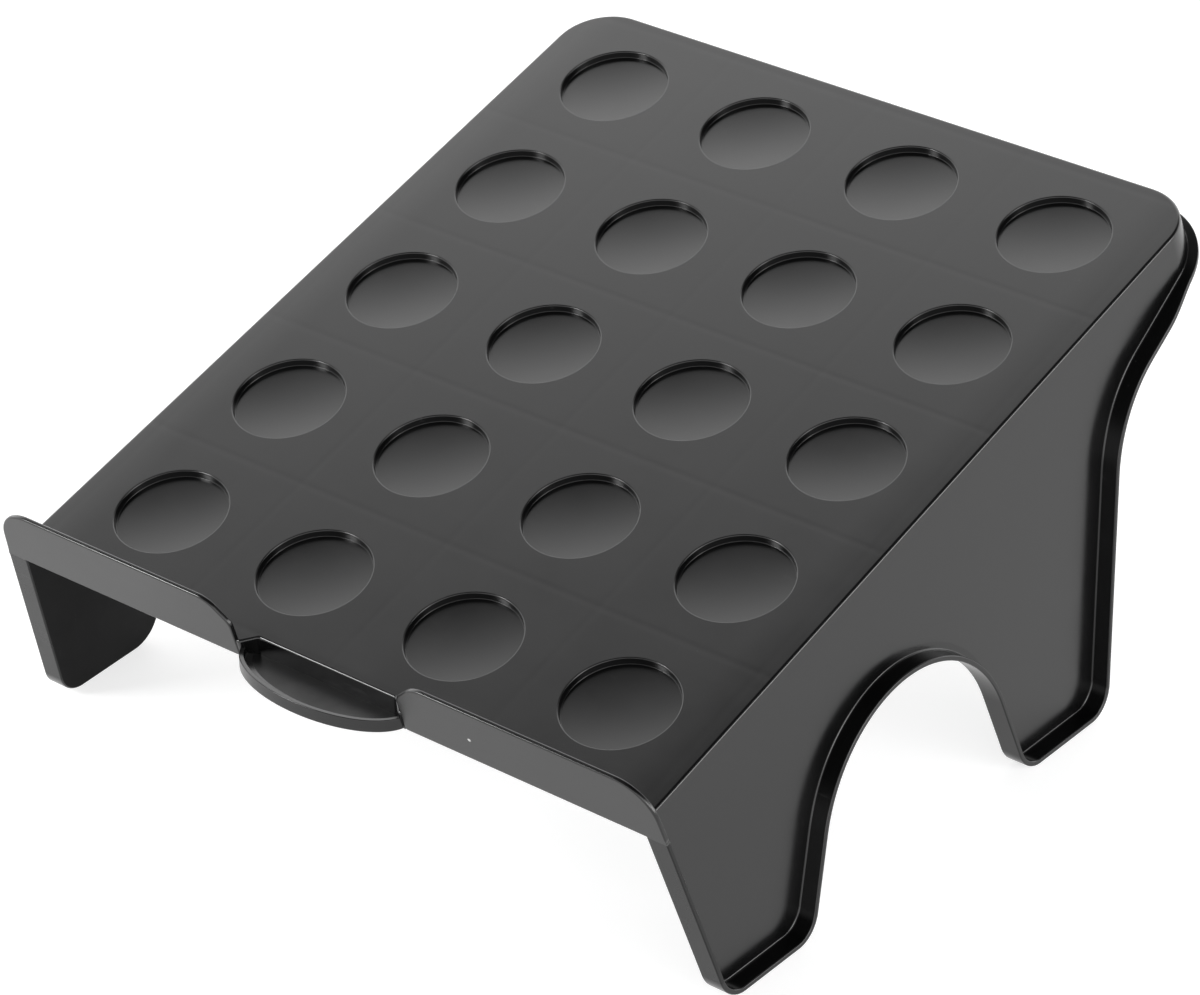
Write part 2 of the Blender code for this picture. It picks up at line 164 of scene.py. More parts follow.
# Plastic
PLASTIC_DARK = (0.0010, 0.0010, 0.0011, 1.0)
PLASTIC_LIGHT = (0.0024, 0.0024, 0.0025, 1.0)
DUST_COLOUR = (0.035, 0.035, 0.035, 1.0)
SPECK_COLOUR = (0.4, 0.4, 0.39, 1.0)
SPECK_U = 73.0 * MM
SPECK_W = 2.8 * MM
SPECK_RADIUS = 0.9 * MM
GRAIN_HEIGHT = 0.0012 * MM
WAVE_HEIGHT = 0.01 * MM
SINK_WIDTH = 2.6 * MM
SINK_DEPTH = 0.011 * MM
LONG_SINK_SHARE = 0.7
DROOP_WIDTH = 20.0 * MM
DROOP_SLOPE = 0.035

# Sky: even strength, dark caps as (direction, inner and outer angle in degrees, share taken away)
# and soft boxes as (direction, inner and outer angle in degrees, strength added)
SKY_STRENGTH = 2.6
SKY_CAPS = (
    ((-0.10, -0.35, 0.92), 38.0, 60.0, 0.93),
    ((0.45, 0.50, 0.74), 22.0, 42.0, 0.95),
)
SKY_BOXES = (
    ((0.84, 0.10, 0.33), 8.0, 16.0, 6.0),
    ((0.84, 0.52, 0.13), 6.0, 12.0, 6.0),
)
KEY_PLACE = (-0.70, -0.92, 0.66)
KEY_SIZE = 0.35
KEY_POWER = 8.0

# Floor
FLOOR_REACH = 12.0
FLOOR_GLOW = 0.7
FLOOR_SHADE = 0.5
FLOOR_ROUGHNESS = 0.9

# Camera: lens and sensor in mm, world directions of its axes, and its place
CAMERA_LENS = 137.256
CAMERA_SENSOR = 36.0
CAMERA_CLIP = (0.05, 60.0)
CAMERA_RIGHT = (0.78737, 0.61638, -0.01070)
CAMERA_UP = (-0.31387, 0.41577, 0.85360)
CAMERA_BACK = (0.53059, -0.66874, 0.52083)
CAMERA_PLACE = (0.94696, -1.20156, 1.01164)


# ------------------------------------------------------------ frames of reference

def from_deck(u, v, w):
    """Deck coordinates (right, up the slope, square to the deck) to a world point."""
    return np.array((u, v * COS - w * SIN + ORIGIN_Y, v * SIN + w * COS + ORIGIN_Z))


def deck_vector(u, v, w):
    return np.array((u, v * COS - w * SIN, v * SIN + w * COS))


def side_point(x, y, z):
    return np.array((x, y + ORIGIN_Y, z))


def deck_w(y, z):
    return (z - ORIGIN_Z) * COS - y * SIN


def half_width(w):
    return HALF_WIDTH - DRAFT * w


def lip_face_v(w):
    return -LIP_FACE - LIP_TILT * w


def lip_point(u, w, depth):
    """A point of the leaning lip: u across, w up its front face, depth square to that face."""
    scale = depth / math.hypot(1.0, LIP_TILT)
    return from_deck(u, lip_face_v(w) + scale, w + LIP_TILT * scale)


def lip_w_at_height(height):
    rise = height - ORIGIN_Z + LIP_FACE * SIN
    return rise / (COS - LIP_TILT * SIN)


def unit(vector):
    return vector / np.linalg.norm(vector)


DECK_NORMAL = deck_vector(0.0, 0.0, 1.0)


# ------------------------------------------------------------ mesh building

class Skin:
    """Faces with their own corner normals, on shared vertices, so that pieces meet without a seam."""

    def __init__(self):
        self.index = {}
        self.points = []
        self.faces = []
        self.normals = []
        self.slots = []
        self.slot = 0

    def vertex(self, point):
        key = tuple(int(round(c * VERTEX_GRID)) for c in point)
        if key not in self.index:
            self.index[key] = len(self.points)
            self.points.append(tuple(point))
        return self.index[key]

    def face(self, points, normals):
        ids = []
        kept = []
        for point, normal in zip(points, normals):
            i = self.vertex(point)
            if i not in ids:
                ids.append(i)
                kept.append(normal)
        if len(ids) < 3:
            return
        centre = np.mean([self.points[i] for i in ids], axis=0)
        area = np.zeros(3)
        for a, b in zip(ids, ids[1:] + ids[:1]):
            area += np.cross(np.array(self.points[a]) - centre, np.array(self.points[b]) - centre)
        if area @ np.sum(kept, axis=0) < 0.0:
            ids.reverse()
            kept.reverse()
        self.faces.append(ids)
        self.normals.extend(kept)
        self.slots.append(self.slot)

    def grid(self, points, normals, closed=False):
        """Quads between neighbouring rows of points."""
        rows, columns = len(points), len(points[0])
        last = rows if closed else rows - 1
        for i in range(last):
            j = (i + 1) % rows
            for k in range(columns - 1):
                corner = ((i, k), (j, k), (j, k + 1), (i, k + 1))
                self.face([points[a][b] for a, b in corner], [normals[a][b] for a, b in corner])

    def flat(self, points, normal):
        self.face(points, [normal] * len(points))

    def strip(self, row_a, row_b, normals):
        """Flat-shaded quads between two equal rows."""
        for i in range(len(row_a) - 1):
            self.flat([row_a[i], row_a[i + 1], row_b[i + 1], row_b[i]], normals[i])

    def holed(self, loops, normal):
        """A flat face with holes: the first loop is the outline."""
        bm = bmesh.new()
        for loop in loops:
            ring = [bm.verts.new(point) for point in loop]
            for a, b in zip(ring, ring[1:] + ring[:1]):
                bm.edges.new((a, b))
        bmesh.ops.triangle_fill(bm, use_beauty=True, edges=bm.edges[:], normal=normal)
        for triangle in bm.faces:
            self.flat([np.array(v.co) for v in triangle.verts], normal)
        bm.free()

    def sharp_edges(self):
        """Edges where the corner normals of the two faces differ."""
        beside = {}
        start = 0
        for ids in self.faces:
            count = len(ids)
            for k in range(count):
                a, b = ids[k], ids[(k + 1) % count]
                pair = (self.normals[start + k], self.normals[start + (k + 1) % count])
                if a > b:
                    a, b = b, a
                    pair = pair[::-1]
                beside.setdefault((a, b), []).append(np.concatenate(pair))
            start += count
        sharp = set()
        for key, pairs in beside.items():
            if len(pairs) != 2 or np.abs(pairs[0] - pairs[1]).max() > SAME_NORMAL:
                sharp.add(key)
        return sharp

    def piece(self, name, materials, *nodes):
        mesh = bpy.data.meshes.new(name)
        mesh.from_pydata(self.points, [], self.faces)
        mesh.shade_smooth()
        sharp = self.sharp_edges()
        for edge in mesh.edges:
            edge.use_edge_sharp = tuple(sorted(edge.vertices)) in sharp
        mesh.normals_split_custom_set([tuple(unit(n)) for n in self.normals])
        for material in materials:
            mesh.materials.append(material)
        mesh.polygons.foreach_set("material_index", self.slots)
        obj = bpy.data.objects.new(name, mesh)
        bpy.context.scene.collection.objects.link(obj)
        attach(obj, "root")
        if nodes:
            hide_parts(*nodes)
        return obj


def arc(centre_a, centre_b, radius, start, end, steps, sign=1.0):
    """Points of a 2-D arc with their normals, as (a, b, normal a, normal b)."""
    made = []
    for i in range(steps + 1):
        angle = math.radians(start + (end - start) * i / steps)
        ca, cb = math.cos(angle), math.sin(angle)
        made.append((centre_a + radius * ca, centre_b + radius * cb, sign * ca, sign * cb))
    return made


def fillet(corner, to_first, to_second, radius, steps):
    """Round between two directions that leave a corner: points with normals, in 3-D."""
    to_first = unit(to_first)
    to_second = unit(to_second)
    half = math.acos(max(-1.0, min(1.0, to_first @ to_second))) / 2.0
    centre = corner + unit(to_first + to_second) * radius / math.sin(half)
    start = unit(corner + to_first * radius / math.tan(half) - centre)
    end = unit(corner + to_second * radius / math.tan(half) - centre)
    turn = math.acos(max(-1.0, min(1.0, start @ end)))
    made = []
    for i in range(steps + 1):
        share = i / steps
        normal = (math.sin((1.0 - share) * turn) * start + math.sin(share * turn) * end) / math.sin(turn)
        made.append((centre + radius * normal, normal))
    return made


def rounded_path(corners):
    """Runs of (point, tangent) through 2-D corners (a, b, radius) with arcs in the corners."""
    runs = []
    run_start = np.array(corners[0][:2])
    for before, here, after in zip(corners, corners[1:], corners[2:]):
        corner = np.array(here[:2])
        radius = here[2]
        to_before = unit(np.array(before[:2]) - corner)
        to_after = unit(np.array(after[:2]) - corner)
        half = math.acos(to_before @ to_after) / 2.0
        centre = corner + unit(to_before + to_after) * radius / math.sin(half)
        start = corner + to_before * radius / math.tan(half)
        turn = math.pi - 2.0 * half
        if to_before[0] * to_after[1] - to_before[1] * to_after[0] > 0.0:
            turn = -turn
        steps = max(2, math.ceil(abs(turn) / ARC_STEP))
        spoke = start - centre
        runs.append([(run_start, -to_before), (start, -to_before)])
        arc_run = []
        for i in range(steps + 1):
            angle = turn * i / steps
            ca, sa = math.cos(angle), math.sin(angle)
            offset = np.array((spoke[0] * ca - spoke[1] * sa, spoke[0] * sa + spoke[1] * ca))
            tangent = unit(np.array((-offset[1], offset[0]))) * math.copysign(1.0, turn)
            arc_run.append((centre + offset, tangent))
        runs.append(arc_run)
        run_start = centre + offset
    last = np.array(corners[-1][:2])
    direction = unit(last - run_start)
    runs.append([(run_start, direction), (last, direction)])
    return runs


def join_runs(runs):
    joined = list(runs[0])
    for run in runs[1:]:
        joined.extend(run[1:])
    return joined


# ------------------------------------------------------------ side profile and flange band

def front_edge_point(height):
    w = lip_w_at_height(height)
    point = from_deck(0.0, lip_face_v(w), w)
    return point[1] - ORIGIN_Y, point[2]


def side_end_point():
    along = np.array((math.cos(UNDERCUT_ANGLE), math.sin(UNDERCUT_ANGLE)))
    start = np.array(UNDERCUT_POINT)
    v_start = start[0] * COS + (start[1] - ORIGIN_Z) * SIN
    v_rate = along[0] * COS + along[1] * SIN
    return start + along * (SIDE_END_V - v_start) / v_rate


def side_runs():
    top = front_edge_point(LIP_BOTTOM_HEIGHT)
    toe = front_edge_point(0.0)
    arch_half = (REAR_TOE_Y - FRONT_HEEL_Y) / 2.0
    arch_y = (REAR_TOE_Y + FRONT_HEEL_Y) / 2.0
    end = side_end_point()
    rear_rate = math.tan(REAR_LEAN)
    cut_rate = math.tan(UNDERCUT_ANGLE)
    bend_z = (end[1] + cut_rate * (REAR_HEEL_Y - end[0])) / (1.0 - cut_rate * rear_rate)
    runs = rounded_path([
        (top[0], top[1], 0.0),
        (toe[0], toe[1], FOOT_RADIUS),
        (FRONT_HEEL_Y, 0.0, FOOT_RADIUS),
        (arch_y, arch_half / math.tan(ARCH_LEAN), ARCH_RADIUS),
        (REAR_TOE_Y, 0.0, FOOT_RADIUS),
        (REAR_HEEL_Y, 0.0, FOOT_RADIUS),
        (REAR_HEEL_Y + rear_rate * bend_z, bend_z, UNDERCUT_RADIUS),
        (end[0], end[1], 0.0),
    ])
    (first, along), (last, _) = runs[-1]
    runs[-1] = [(first + (last - first) * i / LAST_RUN_STEPS, along) for i in range(LAST_RUN_STEPS + 1)]
    return runs


def smooth_step(value):
    value = min(1.0, max(0.0, value))
    return value * value * (3.0 - 2.0 * value)


def flange_depth(along):
    blend = smooth_step((along - NARROWING_START) / NARROWING_LENGTH)
    return FLANGE_DEPTH + (BACK_FLANGE_DEPTH - FLANGE_DEPTH) * blend


class Station:
    """Where the flange band stands: its corner, the ways inward and outward, the way along."""

    def __init__(self, origin, inward, outward, along, rim):
        self.origin = origin
        self.inward = inward
        self.outward = outward
        self.along = along
        self.rim = rim

    def place(self, depth, out):
        return self.origin + self.inward * depth + self.outward * out

    def normal(self, normal_depth, normal_out):
        tangent = self.inward * -normal_out + self.outward * normal_depth
        normal = unit(np.cross(self.along, tangent))
        if normal @ (self.inward * normal_depth + self.outward * normal_out) < 0.0:
            normal = -normal
        return normal

    def mirrored(self):
        flip = np.array((-1.0, 1.0, 1.0))
        ways = (self.origin, self.inward, self.outward, self.along)
        return Station(*(way * flip for way in ways), self.rim)


def side_stations(runs):
    """Right side stations; the way inward turns to square-to-the-deck at the end of the profile."""
    last_start = runs[-1][0][0]
    last_length = np.linalg.norm(runs[-1][-1][0] - last_start)
    stations = []
    for point, tangent in join_runs(runs):
        inward = np.array((-tangent[1], tangent[0]))
        reach = (point - last_start) @ runs[-1][0][1] / last_length
        blend = smooth_step(reach) if point[1] > UNDERCUT_POINT[1] - UNDERCUT_RADIUS else 0.0
        turned = inward * (1.0 - blend) + np.array((-SIN, COS)) * blend
        turned = turned / (turned @ inward)
        w_rate = turned[1] * COS - turned[0] * SIN
        w_along = tangent[1] * COS - tangent[0] * SIN
        w = deck_w(point[0], point[1])
        rim = flange_depth(point[0] * COS + (point[1] - ORIGIN_Z) * SIN)
        stations.append(Station(
            side_point(half_width(w), point[0], point[1]),
            np.array((-DRAFT * w_rate, turned[0], turned[1])),
            np.array((1.0, 0.0, 0.0)),
            np.array((-DRAFT * w_along, tangent[0], tangent[1])),
            rim,
        ))
    return stations


def corner_stations():
    """Stations round the right back corner, from the side to the back."""
    end = side_end_point()
    bottom_start = deck_w(end[0], end[1])
    rate = math.tan(UNDERCUT_ANGLE - SLOPE)
    scale_start = 1.0 / math.cos(UNDERCUT_ANGLE - SLOPE)
    stations = []
    for i in range(CORNER_STEPS + 1):
        angle = math.pi / 2.0 * i / CORNER_STEPS
        ca, sa = math.cos(angle), math.sin(angle)
        bottom = bottom_start + rate * CORNER_RADIUS * sa
        slope = rate * CORNER_RADIUS * ca
        radius = CORNER_RADIUS - DRAFT * bottom
        scale = 1.0 + (scale_start - 1.0) * ca
        stations.append(Station(
            from_deck(HALF_WIDTH - CORNER_RADIUS + ca * radius, SIDE_END_V + sa * radius, bottom),
            deck_vector(-DRAFT * ca, -DRAFT * sa, 1.0) * scale,
            deck_vector(ca, sa, 0.0),
            deck_vector(-sa * radius - ca * DRAFT * slope, ca * radius - sa * DRAFT * slope, slope),
            flange_depth(SIDE_END_V + CORNER_RADIUS * angle),
        ))
    return stations


def band_section(rim):
    """Flange band as (depth, out, normals): wall face, crease, flange, rim, sole, inner face."""
    section = [(BAND_REACH, 0.0, 0.0, 1.0)]
    crease = FLANGE_THICKNESS + CREASE_RADIUS
    section += arc(crease, CREASE_RADIUS, CREASE_RADIUS, -90, -180, ROUND_STEPS, -1.0)
    section += arc(FLANGE_THICKNESS - RIM_RADIUS, rim - RIM_RADIUS, RIM_RADIUS, 0, 90, ROUND_STEPS)
    section += arc(RIM_RADIUS, rim - RIM_RADIUS, RIM_RADIUS, 90, 180, ROUND_STEPS)
    section += arc(INNER_RADIUS, INNER_RADIUS - WALL, INNER_RADIUS, 180, 270, ROUND_STEPS)
    section.append((BAND_REACH, -WALL, 0.0, -1.0))
    return section


def band_piece(name, stations, materials, *nodes):
    skin = Skin()
    points = []
    normals = []
    for station in stations:
        section = band_section(station.rim)
        points.append([station.place(d, o) for d, o, _, _ in section])
        normals.append([station.normal(nd, no) for _, _, nd, no in section])
    split = len(points[0]) - BAND_INNER_COLUMNS
    skin.grid([row[:split] for row in points], [row[:split] for row in normals])
    skin.slot = 1
    skin.grid([row[split - 1:] for row in points], [row[split - 1:] for row in normals])
    skin.slot = 0
    skin.strip([row[0] for row in points], [row[-1] for row in points], [s.inward for s in stations])
    skin.flat(points[0], -stations[0].along)
    skin.flat(points[-1], stations[-1].along)
    return skin.piece(name, materials, *nodes)


# ------------------------------------------------------------ wall plates

def side_wall(name, stations, side, materials, *nodes):
    """The flat plate inside the flange band, up to just below the deck's edge."""
    lip_low = lip_w_at_height(LIP_BOTTOM_HEIGHT)
    scale = LIP_THICKNESS / math.hypot(1.0, LIP_TILT)
    lip_cut = WALL_CUT - LIP_TILT * scale
    corners = []
    for w in (lip_cut, lip_low):
        corners.append(lip_point(0.0, w, LIP_THICKNESS))
    top_back = from_deck(0.0, SIDE_END_V, WALL_CUT)
    loops = []
    for inset in (0.0, WALL):
        loop = [s.place(BAND_REACH, -inset) for s in stations]
        for point in (top_back, corners[0], corners[1]):
            w = deck_w(point[1] - ORIGIN_Y, point[2])
            loop.append(np.array((side * (half_width(w) - inset), point[1], point[2])))
        loops.append(loop)
    outward = stations[0].normal(0.0, 1.0)
    skin = Skin()
    skin.flat(loops[0], outward)
    skin.slot = 1
    skin.flat(loops[1], -outward)
    skin.slot = 0
    centre = np.mean(loops[0], axis=0)
    count = len(loops[0])
    for i in range(count):
        j = (i + 1) % count
        edge = loops[0][j] - loops[0][i]
        normal = np.cross(edge, outward)
        if normal @ (loops[0][i] - centre) < 0.0:
            normal = -normal
        if np.linalg.norm(edge) > SHORTEST_EDGE:
            skin.flat([loops[0][i], loops[0][j], loops[1][j], loops[1][i]], normal)
    return skin.piece(name, materials, *nodes)


def back_wall(name, stations, materials, *nodes):
    outer = []
    inner = []
    outer_normals = []
    inner_normals = []
    for station in stations:
        low_out = station.place(BAND_REACH, 0.0)
        low_in = station.place(BAND_REACH, -WALL)
        rise = deck_vector(0.0, 0.0, 1.0) @ (from_deck(0.0, 0.0, WALL_CUT) - low_out)
        up = station.inward / (station.inward @ DECK_NORMAL)
        outer.append([low_out, low_out + up * rise])
        inner.append([low_in, low_in + up * rise])
        normal = station.normal(0.0, 1.0)
        outer_normals.append([normal, normal])
        inner_normals.append([-normal, -normal])
    skin = Skin()
    skin.grid(outer, outer_normals)
    skin.slot = 1
    skin.grid(inner, inner_normals)
    skin.slot = 0
    for k, sign in ((0, -1.0), (1, 1.0)):
        skin.strip([r[k] for r in outer], [r[k] for r in inner], [DECK_NORMAL * sign] * len(outer))
    skin.flat(outer[0] + inner[0][::-1], -stations[0].along)
    skin.flat(outer[-1] + inner[-1][::-1], stations[-1].along)
    return skin.piece(name, materials, *nodes)


# ------------------------------------------------------------ deck plate

def dimple_centres():
    for row in range(DIMPLE_ROWS):
        for column in range(DIMPLE_COLUMNS):
            u = (column - (DIMPLE_COLUMNS - 1) / 2.0) * PITCH_U
            v = (row - (DIMPLE_ROWS - 1) / 2.0) * PITCH_V
            yield u, v


def dimple_profile():
    """Dimple surface as (radius, w, normals), from the deck plane to the middle of the dish."""
    rim = DIMPLE_RIM_RADIUS
    profile = arc(DIMPLE_RADIUS + rim, -rim, rim, 90, 180, RIM_STEPS)
    wall_foot = DIMPLE_RADIUS - DIMPLE_DRAFT
    root = DIMPLE_ROOT_RADIUS
    dish_radius = wall_foot - root
    sag = DIMPLE_DEPTH - DIMPLE_EDGE_DEPTH
    sphere = (dish_radius ** 2 + sag ** 2) / (2.0 * sag)
    edge_angle = math.degrees(math.asin(dish_radius / sphere))
    foot_end = -90 + edge_angle
    profile += arc(dish_radius, -DIMPLE_EDGE_DEPTH + root, root, 0, foot_end, ROUND_STEPS, -1.0)
    dish = arc(0.0, sphere - DIMPLE_DEPTH, sphere, foot_end, -90, DISH_STEPS, -1.0)
    foot = profile[-1]
    lift = foot[1] - dish[0][1]
    squeeze = foot[0] / dish[0][0]
    for radius, w, nr, nw in dish[1:]:
        share = radius / dish[0][0]
        profile.append((radius * squeeze, w + lift * share * share, nr, nw))
    return profile


def turned(skin, profile, u, v):
    points = []
    normals = []
    for i in range(DIMPLE_SEGMENTS):
        angle = 2.0 * math.pi * i / DIMPLE_SEGMENTS
        ca, sa = math.cos(angle), math.sin(angle)
        points.append([from_deck(u + r * ca, v + r * sa, w) for r, w, _, _ in profile])
        normals.append([deck_vector(nr * ca, nr * sa, nw) for _, _, nr, nw in profile])
    skin.grid(points, normals, closed=True)
    return [column[0] for column in points]


def cup_profile():
    """Underside of a dimple, from the deck's underside to the middle of the cup."""
    radius = DIMPLE_RADIUS + CUP_SKIN
    depth = DIMPLE_EDGE_DEPTH + CUP_SKIN
    bottom = DIMPLE_DEPTH + CUP_SKIN
    profile = [(radius, -DECK_THICKNESS, 1.0, 0.0)]
    profile += arc(radius - CUP_ROUND, -depth + CUP_ROUND, CUP_ROUND, 0, CUP_ROUND_END, ROUND_STEPS)
    edge = profile[-1]
    for i in range(1, CUP_STEPS + 1):
        share = 1.0 - i / CUP_STEPS
        w = -bottom + (edge[1] + bottom) * share * share
        tilt = 2.0 * (edge[1] + bottom) * share / edge[0]
        profile.append((edge[0] * share, w, tilt, -1.0))
    return profile


def notch_path():
    """Plan of the finger notch, left to right, as (u, v, outward) at deck level."""
    face = -LIP_FACE + NOTCH_SETBACK
    front = -LIP_FACE + NOTCH_FRONT_INSET
    slant_start = NOTCH_HALF_WIDTH - NOTCH_LEDGE
    slant_end = slant_start - NOTCH_SLANT
    runs = rounded_path([
        (-NOTCH_HALF_WIDTH, front, 0.0),
        (-slant_start, front, NOTCH_CORNER_RADIUS),
        (-slant_end, face, NOTCH_CORNER_RADIUS),
        (slant_end, face, NOTCH_CORNER_RADIUS),
        (slant_start, front, NOTCH_CORNER_RADIUS),
        (NOTCH_HALF_WIDTH, front, 0.0),
    ])
    return [(point[0], point[1], along[1], -along[0]) for point, along in join_runs(runs)]


def notch_sections():
    """For each place on the notch path: deck land, edge round, bottom round, and the wall's back."""
    rows = []
    normals = []
    face = -LIP_FACE + NOTCH_SETBACK
    for u, v, mu, mv in notch_path():
        corner = from_deck(u, v, 0.0)
        toward = unit(np.array((mu, mv, 0.0)))
        land = unit(deck_vector(-mu, -mv, 0.0))
        lean = NOTCH_END_LEAN * (face - v) / (NOTCH_SETBACK - NOTCH_FRONT_INSET)
        low = np.array((corner[0], corner[1] + lean, tab_low.z))
        down = unit(low - corner)
        row = [corner + land * NOTCH_LAND]
        normal_row = [DECK_NORMAL]
        for point, normal in fillet(corner, land, down, NOTCH_EDGE_RADIUS, ROUND_STEPS):
            row.append(point)
            normal_row.append(normal)
        for point, normal in fillet(low, -down, -toward, RIM_RADIUS, FOOT_STEPS):
            row.append(point)
            normal_row.append(normal)
        back_low = low - toward * WALL
        row.append(back_low)
        normal_row.append(np.array((0.0, 0.0, -1.0)))
        underside = from_deck(0.0, 0.0, -DECK_THICKNESS)
        rise = (underside - back_low) @ DECK_NORMAL / DECK_NORMAL[2]
        row.append(back_low + np.array((0.0, 0.0, rise)))
        normal_row.append(-toward)
        rows.append(row)
        normals.append(normal_row)
    return rows, normals


def build_notch(materials):
    rows, normals = notch_sections()
    skin = Skin()
    front = [row[:-2] for row in rows]
    skin.grid(front, [row[:-2] for row in normals])
    for a, b, na in zip(rows, rows[1:], normals):
        skin.flat([a[-3], b[-3], b[-2], a[-2]], na[-2])
        skin.flat([a[-2], b[-2], b[-1], a[-1]], na[-1])
        skin.flat([a[-1], b[-1], b[0], a[0]], -DECK_NORMAL)
    forward = np.array((0.0, -1.0, 0.0))
    skin.flat(rows[0], forward)
    skin.flat(rows[-1], forward)
    return skin.piece("moulded_finger_notch_wall", materials, "finger_notch_wall")


def deck_edge_stations():
    """Round the deck's side and back edges, from the front right corner to the front left one."""
    front = lip_face_v(0.0) + LIP_THICKNESS * math.hypot(1.0, LIP_TILT)
    centre_u = HALF_WIDTH - CORNER_RADIUS
    places = [(centre_u, front, 1.0, 0.0)]
    for i in range(CORNER_STEPS + 1):
        angle = math.pi / 2.0 * i / CORNER_STEPS
        places.append((centre_u, SIDE_END_V, math.cos(angle), math.sin(angle)))
    return places + [(-u, v, -ou, ov) for u, v, ou, ov in reversed(places)]


def build_deck(materials):
    skin = Skin()
    wall_way = unit(np.array((DRAFT, 0.0, -1.0)))
    rounding = fillet(np.zeros(3), np.array((-1.0, 0.0, 0.0)), wall_way, EDGE_RADIUS, EDGE_STEPS)
    outer = [(p[0], p[2], n[0], n[2]) for p, n in rounding]
    wall_normal = unit(np.array((1.0, DRAFT)))
    outer.append((-DRAFT * WALL_CUT, WALL_CUT, wall_normal[0], wall_normal[1]))
    edge = deck_edge_stations()
    points = []
    normals = []
    inner = []
    for u, v, ou, ov in edge:
        row = []
        for out, w, _, _ in outer:
            reach = CORNER_RADIUS + out
            row.append(from_deck(u + ou * reach, v + ov * reach, w))
        points.append(row)
        normals.append([deck_vector(ou * no, ov * no, nw) for _, _, no, nw in outer])
        row = []
        for w in (WALL_CUT, -DECK_THICKNESS):
            offset = CORNER_RADIUS - DRAFT * w - WALL
            row.append(from_deck(u + ou * offset, v + ov * offset, w))
        inner.append(row)
    skin.grid(points, normals)
    for i in range(len(points) - 1):
        _, _, ou, ov = edge[i]
        skin.flat([points[i][-1], points[i + 1][-1], inner[i + 1][0], inner[i][0]], -DECK_NORMAL)
        skin.flat([inner[i][0], inner[i + 1][0], inner[i + 1][1], inner[i][1]], -deck_vector(ou, ov, 0.0))
    forward = deck_vector(0.0, -1.0, 0.0)
    for k in (0, -1):
        skin.flat(points[k] + inner[k], forward)
    rows, _ = notch_sections()
    front_top = [row[0] for row in rows]
    front_bottom = [point - DECK_NORMAL * DECK_THICKNESS for point in front_top]
    top_chain = [points[-1][0]] + front_top + [points[0][0]]
    bottom_chain = [inner[-1][1]] + front_bottom + [inner[0][1]]
    for i in range(len(top_chain) - 1):
        skin.flat([top_chain[i], top_chain[i + 1], bottom_chain[i + 1], bottom_chain[i]], forward)
    profile = dimple_profile()
    cup = cup_profile()
    rims = []
    cups = []
    for u, v in dimple_centres():
        rims.append(turned(skin, profile, u, v))
        cups.append(turned(skin, cup, u, v))
    top_outline = front_top + [row[0] for row in points]
    bottom_outline = front_bottom + [row[1] for row in inner]
    skin.holed([top_outline] + rims, DECK_NORMAL)
    skin.slot = 1
    skin.holed([bottom_outline] + cups, -DECK_NORMAL)
    return skin.piece("moulded_deck_plate", materials, "deck_plate")


# ------------------------------------------------------------ lip and tab

def offset_ways(outline):
    """For each outline vertex: the mitred way outward, for a unit offset, and the smooth normal."""
    count = len(outline)
    turn = 0.0
    for a, b in zip(outline, outline[1:] + outline[:1]):
        turn += a[0] * b[1] - a[1] * b[0]
    sign = 1.0 if turn > 0.0 else -1.0
    ways = []
    for i in range(count):
        before = unit(outline[i] - outline[i - 1])
        after = unit(outline[(i + 1) % count] - outline[i])
        n1 = sign * np.array((before[1], -before[0]))
        n2 = sign * np.array((after[1], -after[0]))
        ways.append(((n1 + n2) / (1.0 + n1 @ n2), unit(n1 + n2)))
    return ways


def rounded_plate(skin, outline, radii, thickness, place, vector):
    """A plate with rounded edges; place(a, b, depth) and vector(a, b, depth) map it to 3-D."""
    points = []
    normals = []
    for point, radius, (way, normal) in zip(outline, radii, offset_ways(outline)):
        row = []
        normal_row = []
        for at_back in (False, True):
            for i in range(ROUND_STEPS + 1):
                angle = math.pi / 2.0 * i / ROUND_STEPS
                if at_back:
                    angle = math.pi / 2.0 - angle
                inset = radius * (1.0 - math.sin(angle))
                depth = radius * (1.0 - math.cos(angle))
                face = -math.cos(angle)
                if at_back:
                    depth = thickness - depth
                    face = -face
                a, b = point - way * inset
                row.append(place(a, b, depth))
                out = normal * math.sin(angle)
                normal_row.append(vector(out[0], out[1], face))
        points.append(row)
        normals.append(normal_row)
    skin.grid(points, normals, closed=True)
    skin.flat([row[0] for row in points], vector(0.0, 0.0, -1.0))
    skin.flat([row[-1] for row in points], vector(0.0, 0.0, 1.0))


def lip_vector(u, w, depth):
    scale = 1.0 / math.hypot(1.0, LIP_TILT)
    return deck_vector(u, (depth - LIP_TILT * w) * scale, (w + LIP_TILT * depth) * scale)


